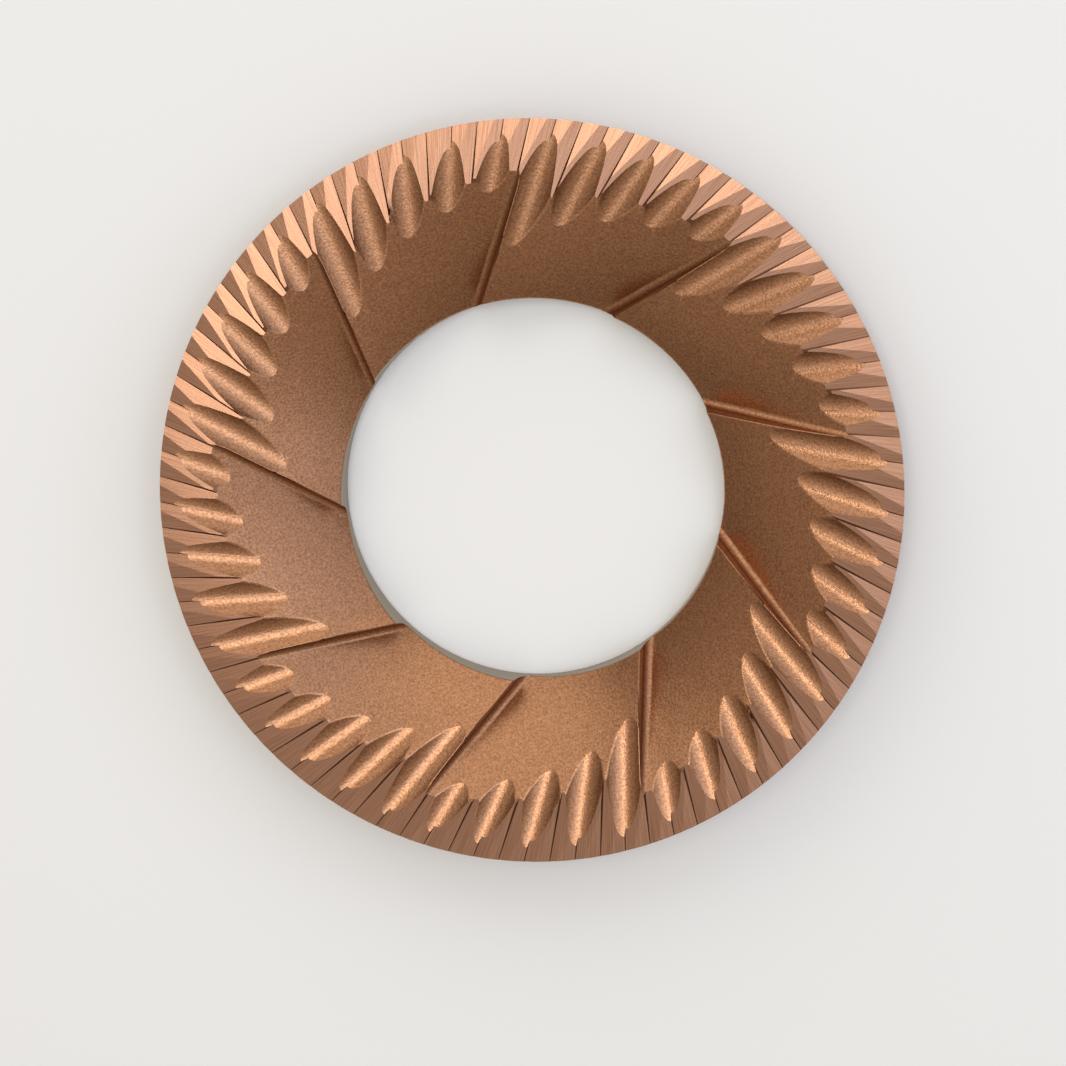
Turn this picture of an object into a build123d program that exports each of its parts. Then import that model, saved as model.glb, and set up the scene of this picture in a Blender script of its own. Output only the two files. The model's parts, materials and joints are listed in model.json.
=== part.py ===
from build123d import *
import os
from math import asin, cos, degrees, radians, sin, sqrt, tan

# Flat grinder burr: one steel ring that lies on its back face, teeth up.
# The axis is Z and the origin is the centre of the back face. Every cut in the face follows
# a straight line that passes the axis at a set distance, so the cuts all rake to one side.

# Ring
outer_d = 98.0
bore_d = 51.2
thickness = 11.5
back_chamfer = 0.5

# Pattern, anticlockwise from +X
segments = 9
flutes_per_segment = 5
teeth_per_flute = 2
first_blade = -11.3

# Breaker blades and the twisted ramps that rise between them
blade_offset = 15.6
blade_draft = 10.0
blade_height = 4.7
web_at_bore = 2.0
ramp_low_inset = 6.9
ramp_high_inset = 11.8
ramp_end_depth = 0.45
ramp_stretch = 1.43
root_radius = 1.1
root_bite = 0.06

# Round flutes that feed the teeth
flute_offset = 11.8
flute_tip_inset = 1.9
flute_radius = 3.2
flute_slope = 9.5
flute_length = 17.0

# Grinding teeth, left standing between shallow vee grooves
tooth_offset = 10.4
tooth_meet_inset = 9.0
groove_rim_depth = 0.11
groove_root_depth = 0.25
groove_root_inset = 6.0
groove_draft = 45.0
groove_floor_slope = 6.0

# Tapped screw holes in the back, at their drilled size
screw_holes = 3
screw_circle_d = 76.0
screw_tap_d = 4.2
screw_depth = 6.0
first_screw = 90.0

# Air that a cutter passes through beyond the metal
clear = 3.0

outer_r = outer_d / 2
bore_r = bore_d / 2
segment_pitch = 360 / segments
flute_pitch = segment_pitch / flutes_per_segment
tooth_pitch = flute_pitch / teeth_per_flute


def along(radius, offset):
    # Distance along a cut's line, from its point nearest the axis out to a radius.
    return sqrt(radius**2 - offset**2)


def lead(radius, offset):
    # Angle that a cut's line has gained on its own direction at a radius.
    return degrees(asin(offset / radius))


def around(shape, first, pitch, count):
    return [Rot(Z=first + pitch * number) * shape for number in range(count)]


def ring():
    blank = Cylinder(outer_r, thickness, align=(Align.CENTER, Align.CENTER, Align.MIN))
    blank -= Cylinder(bore_r, thickness, align=(Align.CENTER, Align.CENTER, Align.MIN))
    back_edges = blank.edges().filter_by(GeomType.CIRCLE).group_by(Axis.Z)[0]
    return chamfer(back_edges, back_chamfer)


def ramp_point(x, share):
    # Floor of a ramp at a distance along the root line of its own blade (share 0) or of the
    # next blade (share 1).
    inset = ramp_low_inset + share * (ramp_high_inset - ramp_low_inset)
    bore = along(bore_r, blade_offset)
    foot = web_at_bore + share * blade_height
    slope = (thickness - ramp_end_depth - foot) / (along(outer_r - inset, blade_offset) - bore)
    point = Vector(x, blade_offset, foot + slope * (x - bore))
    return point.rotate(Axis.Z, share * segment_pitch)


def root_normals(x):
    # Unit normals of the blade's drafted face and of the ramp beside it, at their corner.
    corner = ramp_point(x, 0)
    line = ramp_point(x + 1, 0) - corner
    face = line.cross(Vector(0, -tan(radians(blade_draft)), 1))
    floor = line.cross(ramp_point(x * ramp_stretch, 1) - corner)
    return -face.normalized(), floor.normalized()


def root_centre(x):
    face, floor = root_normals(x)
    reach = (root_radius - root_bite) / (1 + face.dot(floor))
    return ramp_point(x, 0) + (face + floor) * reach


def root_filler():
    # Metal that a round-nosed cutter leaves in the corner at the foot of a blade.
    bore = along(bore_r, blade_offset)
    end = along(outer_r - ramp_low_inset, blade_offset)
    inner = root_centre(bore + clear)
    outer = root_centre(end - clear)
    run = (outer - inner).normalized()
    face, floor = root_normals((bore + end) / 2)
    section = Plane(origin=inner - run * 2 * clear, x_dir=-face, z_dir=run)
    reach = 3 * root_radius
    down = section.to_local_coords(section.origin - floor * reach)
    corner = Polyline((0, 0), (reach, 0), (reach, down.Y), (down.X, down.Y), close=True)
    length = (outer - inner).length + 4 * clear
    bar = extrude(section * make_face(corner), length, dir=run)
    return bar - section * Cylinder(root_radius, 3 * length)


def ramp_cutter():
    # Ruled from the root line of one blade, below its drafted face, across to the root line
    # of the next, where the rulings land further out.
    ends = (along(bore_r - clear, blade_offset) / ramp_stretch, along(outer_r, blade_offset))
    near = [ramp_point(x, 0) for x in ends]
    far = [ramp_point(x * ramp_stretch, 1) for x in ends]
    lean = tan(radians(blade_draft))
    rise = [2 * thickness - point.Z for point in near + far]
    near += [near[n] + Vector(0, -lean * rise[n], rise[n]) for n in (1, 0)]
    far += [far[n] + Vector(0, 0, rise[2 + n]) for n in (1, 0)]
    return Part() + Solid.make_loft([Wire.make_polygon(near), Wire.make_polygon(far)]) - root_filler()


def flute_cutter():
    # A round groove whose floor runs out of the face at the tip.
    slope = radians(flute_slope)
    tip = Vector(along(outer_r - flute_tip_inset, flute_offset), flute_offset, thickness)
    inward = Vector(-cos(slope), 0, -sin(slope))
    upward = Vector(-sin(slope), 0, cos(slope))
    start = tip + upward * flute_radius - inward * clear
    return extrude(Plane(origin=start, z_dir=inward) * Circle(flute_radius), flute_length + clear)


def groove_cutter():
    # A shallow vee: a short wall, which is the tooth's cutting face, and one nearly flat floor.
    rim = along(outer_r, tooth_offset)
    root = along(outer_r - groove_root_inset, tooth_offset)
    fall = (groove_root_depth - groove_rim_depth) / (rim - root)
    wall = tan(radians(groove_draft))
    length = rim - along(outer_r - ramp_high_inset - clear, tooth_offset) + clear
    depth = groove_rim_depth - fall * clear
    high = depth + fall * length + clear * fall
    width = high / tan(radians(groove_floor_slope))
    inward = Vector(-1, fall * wall, -fall)
    start = Vector(rim + clear, tooth_offset + depth * wall, thickness - depth)
    corners = [start, start + Vector(0, -high * wall, high), start + Vector(0, width, high)]
    face = Face(Wire.make_polygon(corners))
    return extrude(face, length * inward.length, dir=inward.normalized())


def screw_cutter():
    hole = Cylinder(screw_tap_d / 2, screw_depth, align=(Align.CENTER, Align.CENTER, Align.MIN))
    return Pos(X=screw_circle_d / 2) * hole


burr = ring()
for ramp in around(ramp_cutter(), first_blade, segment_pitch, segments):
    burr -= ramp

# A tooth's edge line meets the blade's face here; a flute tips on every second edge line.
meet_r = outer_r - tooth_meet_inset
tip_r = outer_r - flute_tip_inset
first_tooth = first_blade + lead(meet_r, blade_offset) - lead(meet_r, tooth_offset)
first_flute = first_tooth + lead(tip_r, tooth_offset) - lead(tip_r, flute_offset) + tooth_pitch
flutes = segments * flutes_per_segment
burr -= around(flute_cutter(), first_flute, flute_pitch, flutes)
for number in range(teeth_per_flute):
    burr -= around(groove_cutter(), first_tooth + number * tooth_pitch, flute_pitch, flutes)

burr -= around(screw_cutter(), first_screw, 360 / screw_holes, screw_holes)

os.makedirs("parts", exist_ok=True)
export_step(burr, "parts/burr.step")
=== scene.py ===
import json
from math import asin, atan2, cos, hypot, pi, radians, sin, sqrt

import bmesh
import bpy
from mathutils import Matrix, Vector


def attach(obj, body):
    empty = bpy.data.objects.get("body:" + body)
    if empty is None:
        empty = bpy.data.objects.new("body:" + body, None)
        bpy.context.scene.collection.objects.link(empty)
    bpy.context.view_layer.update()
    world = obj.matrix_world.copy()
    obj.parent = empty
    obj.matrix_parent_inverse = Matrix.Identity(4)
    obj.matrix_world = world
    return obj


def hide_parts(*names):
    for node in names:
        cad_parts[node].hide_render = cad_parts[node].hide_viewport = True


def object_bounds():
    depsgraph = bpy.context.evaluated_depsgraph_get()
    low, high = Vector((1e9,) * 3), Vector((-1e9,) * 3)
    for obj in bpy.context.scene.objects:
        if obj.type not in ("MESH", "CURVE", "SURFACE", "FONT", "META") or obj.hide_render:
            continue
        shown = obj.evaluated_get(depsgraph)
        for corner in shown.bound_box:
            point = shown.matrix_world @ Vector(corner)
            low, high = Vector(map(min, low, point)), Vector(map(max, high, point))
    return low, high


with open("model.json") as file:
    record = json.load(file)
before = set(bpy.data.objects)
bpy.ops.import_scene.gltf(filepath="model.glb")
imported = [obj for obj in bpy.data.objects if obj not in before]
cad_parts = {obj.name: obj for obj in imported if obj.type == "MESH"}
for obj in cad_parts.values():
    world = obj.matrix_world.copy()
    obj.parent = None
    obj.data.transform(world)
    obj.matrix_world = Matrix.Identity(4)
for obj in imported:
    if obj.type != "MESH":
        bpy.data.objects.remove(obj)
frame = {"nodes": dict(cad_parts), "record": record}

# Flat grinder burr, lying on its back with the teeth up. The frame is in metres.
cadBox = [list(corner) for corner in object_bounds()]
mm = 0.001


def hexColour(code):
    # sRGB hex to linear
    parts = [int(code[n:n + 2], 16) / 255 for n in (1, 3, 5)]
    return [p / 12.92 if p <= 0.04045 else ((p + 0.055) / 1.055) ** 2.4 for p in parts] + [1.0]


def addNode(tree, kind, inputs=None, **settings):
    node = tree.nodes.new(kind)
    for name, value in settings.items():
        setattr(node, name, value)
    for socket, value in (inputs or {}).items():
        if isinstance(value, bpy.types.NodeSocket):
            tree.links.new(value, node.inputs[socket])
        else:
            node.inputs[socket].default_value = value
    return node


def newMaterial(name):
    material = bpy.data.materials.new(name)
    material.use_nodes = True
    material.node_tree.nodes.clear()
    return material, material.node_tree


def placeRoundAxis(tree):
    # height along the axis, distance from it and angle round it
    place = addNode(tree, "ShaderNodeTexCoord")
    axes = addNode(tree, "ShaderNodeSeparateXYZ", {"Vector": place.outputs["Object"]})
    flat = addNode(tree, "ShaderNodeCombineXYZ", {"X": axes.outputs["X"], "Y": axes.outputs["Y"]})
    radius = addNode(tree, "ShaderNodeVectorMath", {0: flat.outputs["Vector"]}, operation="LENGTH")
    turn = addNode(tree, "ShaderNodeMath", {0: axes.outputs["Y"], 1: axes.outputs["X"]}, operation="ARCTAN2")
    return axes.outputs["Z"], radius.outputs["Value"], turn.outputs["Value"]


def stretchContrast(tree, pattern):
    # noise seldom leaves the middle of its range, so that part is spread over all of it
    spread = addNode(tree, "ShaderNodeMapRange", {"Value": pattern, "From Min": 0.3, "From Max": 0.7})
    return spread.outputs["Result"]


def finishMetal(tree, share, relief, look):
    # colour from one pattern, relief from another
    tone = addNode(tree, "ShaderNodeMix", {
        "Factor": share, "A": hexColour(look["colour"]), "B": hexColour(look["bright"])}, data_type="RGBA")
    bump = addNode(tree, "ShaderNodeBump", {"Height": relief, "Strength": 1.0, "Distance": look["depth"]})
    shader = addNode(tree, "ShaderNodeBsdfPrincipled", {
        "Base Color": tone.outputs["Result"], "Metallic": 1.0, "Roughness": look["roughness"],
        "Normal": bump.outputs["Normal"]})
    addNode(tree, "ShaderNodeOutputMaterial", {"Surface": shader.outputs["BSDF"]})


# Bead-blasted steel under a copper coloured hard coat: dull gold with small sparkles. Real grain is
# too fine to show, so it is drawn as coarse as it needs to be seen.
blast = dict(colour="#956C51", bright="#BD8F6E", grain=0.3 * mm, depth=0.03 * mm, roughness=0.34)
blastedCoat, tree = newMaterial("blastedCopperCoat")
place = addNode(tree, "ShaderNodeTexCoord")
grain = addNode(tree, "ShaderNodeTexNoise", {
    "Vector": place.outputs["Object"], "Scale": 1 / blast["grain"], "Detail": 2.0})
finishMetal(tree, stretchContrast(tree, grain.outputs["Fac"]), grain.outputs["Fac"], blast)

# Ground steel under the same coat: the wheel's straight scratches run along each tooth, which is
# smoother and catches light as a whole. Scratches are drawn wider than real ones, to show.
ground = dict(colour="#7F5D4A", bright="#906D58", line=0.16 * mm, reach=9 * mm, depth=0.003 * mm,
              roughness=0.25)
# how far a tooth's line passes from the axis, and the radius at its middle
toothCourse = dict(offset=10.4 * mm, radius=45 * mm)
groundTeeth, tree = newMaterial("groundCopperCoat")
level, radius, turn = placeRoundAxis(tree)
ratio = addNode(tree, "ShaderNodeMath", {0: toothCourse["offset"], 1: radius}, operation="DIVIDE")
lean = addNode(tree, "ShaderNodeMath", {0: ratio.outputs["Value"]}, operation="ARCSINE")
course = addNode(tree, "ShaderNodeMath", {0: turn, 1: lean.outputs["Value"]}, operation="SUBTRACT")
across = addNode(tree, "ShaderNodeMath", {
    0: course.outputs["Value"], 1: toothCourse["radius"] / ground["line"]}, operation="MULTIPLY")
outward = addNode(tree, "ShaderNodeMath", {0: radius, 1: 1 / ground["reach"]}, operation="MULTIPLY")
lay = addNode(tree, "ShaderNodeCombineXYZ", {"X": across.outputs["Value"], "Y": outward.outputs["Value"]})
scratch = addNode(tree, "ShaderNodeTexNoise", {
    "Vector": lay.outputs["Vector"], "Scale": 1.0, "Detail": 3.0}, noise_dimensions="2D")
finishMetal(tree, stretchContrast(tree, scratch.outputs["Fac"]), scratch.outputs["Fac"], ground)


def turnedFinish(name, look):
    # lathe lines run round the axis, on walls and on flat faces alike
    material, tree = newMaterial(name)
    level, radius, turn = placeRoundAxis(tree)
    travel = addNode(tree, "ShaderNodeMath", {0: radius, 1: level}, operation="ADD")
    fine = addNode(tree, "ShaderNodeMath", {
        0: travel.outputs["Value"], 1: 1 / look["line"]}, operation="MULTIPLY")
    lay = addNode(tree, "ShaderNodeCombineXYZ", {"X": fine.outputs["Value"], "Y": turn})
    lines = addNode(tree, "ShaderNodeTexNoise", {
        "Vector": lay.outputs["Vector"], "Scale": 1.0, "Detail": 3.0}, noise_dimensions="2D")
    finishMetal(tree, lines.outputs["Fac"], lines.outputs["Fac"], look)
    return material


# Turned steel under the coat, on rim and back: satin copper over fine lathe lines
turned = dict(colour="#93694A", bright="#A97F5F", line=0.2 * mm, depth=0.004 * mm, roughness=0.3)
turnedRim = turnedFinish("turnedCopperCoat", turned)
# Bored steel: this wall is given a greyer colour than the rest
bored = dict(colour="#82745F", bright="#998A70", line=0.2 * mm, depth=0.004 * mm, roughness=0.36)
boredWall = turnedFinish("boredSteel", bored)
print("materials done")

# The burr: a merged copy of the solid, with its finishes laid on by where each face lies
body = dict(merge=0.001 * mm, flat=0.03, crease=28, fineCrease=2.5)  # angles in degrees
# tilt is the Z of a face's normal
faceKind = dict(wallTilt=0.1, backTilt=-0.5, boreSkin=0.3 * mm, toothDepth=0.42 * mm)
worn = dict(angle=22, shortest=0.25 * mm, width=0.15 * mm)
flute = dict(count=45, first=-1.167, offset=11.8 * mm, tipRadius=47.1 * mm, radius=3.2 * mm, slope=9.5,
             slack=0.06 * mm)
topZ = cadBox[1][2]
boreRadius = frame["record"]["mounts"][0]["dims"]["r_mm"] * mm
slope = radians(flute["slope"])
fluteTip = Vector((sqrt(flute["tipRadius"] ** 2 - flute["offset"] ** 2), flute["offset"], topZ))
fluteAxis = Vector((cos(slope), 0, sin(slope)))
fluteCentre = fluteTip + Vector((-sin(slope), 0, cos(slope))) * flute["radius"]


def inFlute(point):
    # true on the round wall of the nearest flute
    pitch = 2 * pi / flute["count"]
    lead = asin(min(1, flute["offset"] / hypot(point.x, point.y))) + radians(flute["first"])
    number = round((atan2(point.y, point.x) - lead) / pitch)
    local = Matrix.Rotation(-radians(flute["first"]) - number * pitch, 3, "Z") @ point - fluteCentre
    return abs((local - fluteAxis * local.dot(fluteAxis)).length - flute["radius"]) < flute["slack"]


work = bmesh.new()
work.from_mesh(frame["nodes"]["burr"].data)
bmesh.ops.remove_doubles(work, verts=work.verts, dist=body["merge"])
bmesh.ops.dissolve_limit(work, angle_limit=radians(body["flat"]), verts=work.verts, edges=work.edges)
finishes = [blastedCoat, groundTeeth, turnedRim, boredWall]
scooped, toothed = set(), set()
for face in work.faces:
    face.smooth = True
    middle = face.calc_center_median()
    upright = abs(face.normal.z) < faceKind["wallTilt"]
    lowest = min(vert.co.z for vert in face.verts)
    finish = blastedCoat
    if upright and hypot(middle.x, middle.y) < boreRadius + faceKind["boreSkin"]:
        finish = boredWall
    elif upright or face.normal.z < faceKind["backTilt"]:
        finish = turnedRim
    elif all(inFlute(point) for point in [middle] + [vert.co for vert in face.verts]):
        scooped.add(face)
    elif lowest > topZ - faceKind["toothDepth"]:
        finish = groundTeeth
        toothed.add(face)
    face.material_index = finishes.index(finish)
for edge in work.edges:
    faces = set(edge.link_faces)
    crisp = len(faces & scooped) == 1 or faces & toothed  # outlines of flutes and teeth
    edge.smooth = edge.calc_face_angle(0) < radians(body["fineCrease"] if crisp else body["crease"])
print("flute faces", len(scooped), "tooth faces", len(toothed), "of", len(work.faces))

# wear rounds the other sharp edges, and slivers that this leaves are merged away
blunted = [edge for edge in work.edges if edge.is_convex and not set(edge.link_faces) & toothed
           and edge.calc_face_angle(0) > radians(worn["angle"]) and edge.calc_length() > worn["shortest"]]
bmesh.ops.bevel(work, geom=blunted, offset=worn["width"], offset_type="OFFSET", affect="EDGES", segments=2,
                profile=0.5, clamp_overlap=False, material=-1)
bmesh.ops.remove_doubles(work, verts=work.verts, dist=body["merge"])
bmesh.ops.dissolve_degenerate(work, edges=work.edges, dist=body["merge"])
mesh = bpy.data.meshes.new("burrBody")
work.to_mesh(mesh)
work.free()
for finish in finishes:
    mesh.materials.append(finish)
piece = bpy.data.objects.new("burrBody", mesh)
bpy.context.scene.collection.objects.link(piece)
shade = piece.modifiers.new("evenShade", "WEIGHTED_NORMAL")
shade.keep_sharp = True
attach(piece, "root")
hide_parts("burr")
print("burr done,", len(mesh.polygons), "faces")

# Matt white paper: a pale floor that takes soft shadows
paper = dict(size=6.0, colour="#F3FAFF", roughness=0.9)
floorPaper, tree = newMaterial("whitePaper")
shader = addNode(tree, "ShaderNodeBsdfPrincipled", {
    "Base Color": hexColour(paper["colour"]), "Roughness": paper["roughness"]})
addNode(tree, "ShaderNodeOutputMaterial", {"Surface": shader.outputs["BSDF"]})
sheet = bmesh.new()
bmesh.ops.create_grid(sheet, x_segments=1, y_segments=1, size=paper["size"] / 2)
floorMesh = bpy.data.meshes.new("floor")
sheet.to_mesh(floorMesh)
sheet.free()
floorMesh.materials.append(floorPaper)
floor = bpy.data.objects.new("floor", floorMesh)
bpy.context.scene.collection.objects.link(floor)

# Soft studio light: azimuth from +X and height above the floor in degrees, the rest in metres and watts
boxDistance = 0.9
softboxes = dict(
    key=dict(azimuth=15, height=78, width=0.42, length=0.6, power=1.65, colour="#E4EFFF"),
    side=dict(azimuth=28, height=44, width=1.0, length=0.6, power=1.2, colour="#D0E0FF"),
    far=dict(azimuth=105, height=31, width=1.0, length=0.85, power=2.3, colour="#FFF8EE"),
    strip=dict(azimuth=115, height=80, width=0.14, length=0.32, power=0.95, colour="#FFF6E4"),
    overhead=dict(azimuth=235, height=72, width=0.5, length=0.5, power=0.4, colour="#FFFFFF"),
)
for name, box in softboxes.items():
    light = bpy.data.lights.new(name, "AREA")
    light.shape = "RECTANGLE"
    light.size, light.size_y = box["width"], box["length"]  # width lies level
    light.energy = box["power"]
    light.color = hexColour(box["colour"])[:3]
    lamp = bpy.data.objects.new(name, light)
    azimuth, height = radians(box["azimuth"]), radians(box["height"])
    aim = Vector((cos(azimuth) * cos(height), sin(azimuth) * cos(height), sin(height)))
    lamp.location = aim * boxDistance
    lamp.rotation_euler = (-lamp.location).to_track_quat("-Z", "Y").to_euler()
    bpy.context.scene.collection.objects.link(lamp)

# Warm dome, brightest overhead and dim near the floor
dome = dict(low=0.14, high=0.54, lowEnd=0.1, highEnd=0.6, colour="#FFEAD4")
world = bpy.data.worlds.new("studio")
world.use_nodes = True
tree = world.node_tree
tree.nodes.clear()
place = addNode(tree, "ShaderNodeTexCoord")
axes = addNode(tree, "ShaderNodeSeparateXYZ", {"Vector": place.outputs["Generated"]})
glow = addNode(tree, "ShaderNodeMapRange", {
    "Value": axes.outputs["Z"], "From Min": dome["lowEnd"], "From Max": dome["highEnd"],
    "To Min": dome["low"], "To Max": dome["high"]})
sky = addNode(tree, "ShaderNodeBackground", {
    "Color": hexColour(dome["colour"]), "Strength": glow.outputs["Result"]})
addNode(tree, "ShaderNodeOutputWorld", {"Surface": sky.outputs["Background"]})
bpy.context.scene.world = world
bpy.context.scene.view_settings.view_transform = "Standard"
print("light done")

# Camera looks down on the face, from a little above and to the right; place in millimetres
view = dict(place=(33.67, 37.72, 347.38), turn=(-6.439, 5.653, -0.637), lens=87.57, sensor=36,
            shift=(0.0057, -0.0348), nearest=10 * mm)
lens = bpy.data.cameras.new("camera")
lens.sensor_width = view["sensor"]
lens.lens = view["lens"]
lens.shift_x, lens.shift_y = view["shift"]
lens.clip_start = view["nearest"]
camera = bpy.data.objects.new("camera", lens)
camera.location = Vector(view["place"]) * mm
camera.rotation_euler = [radians(angle) for angle in view["turn"]]
bpy.context.scene.collection.objects.link(camera)
bpy.context.scene.camera = camera
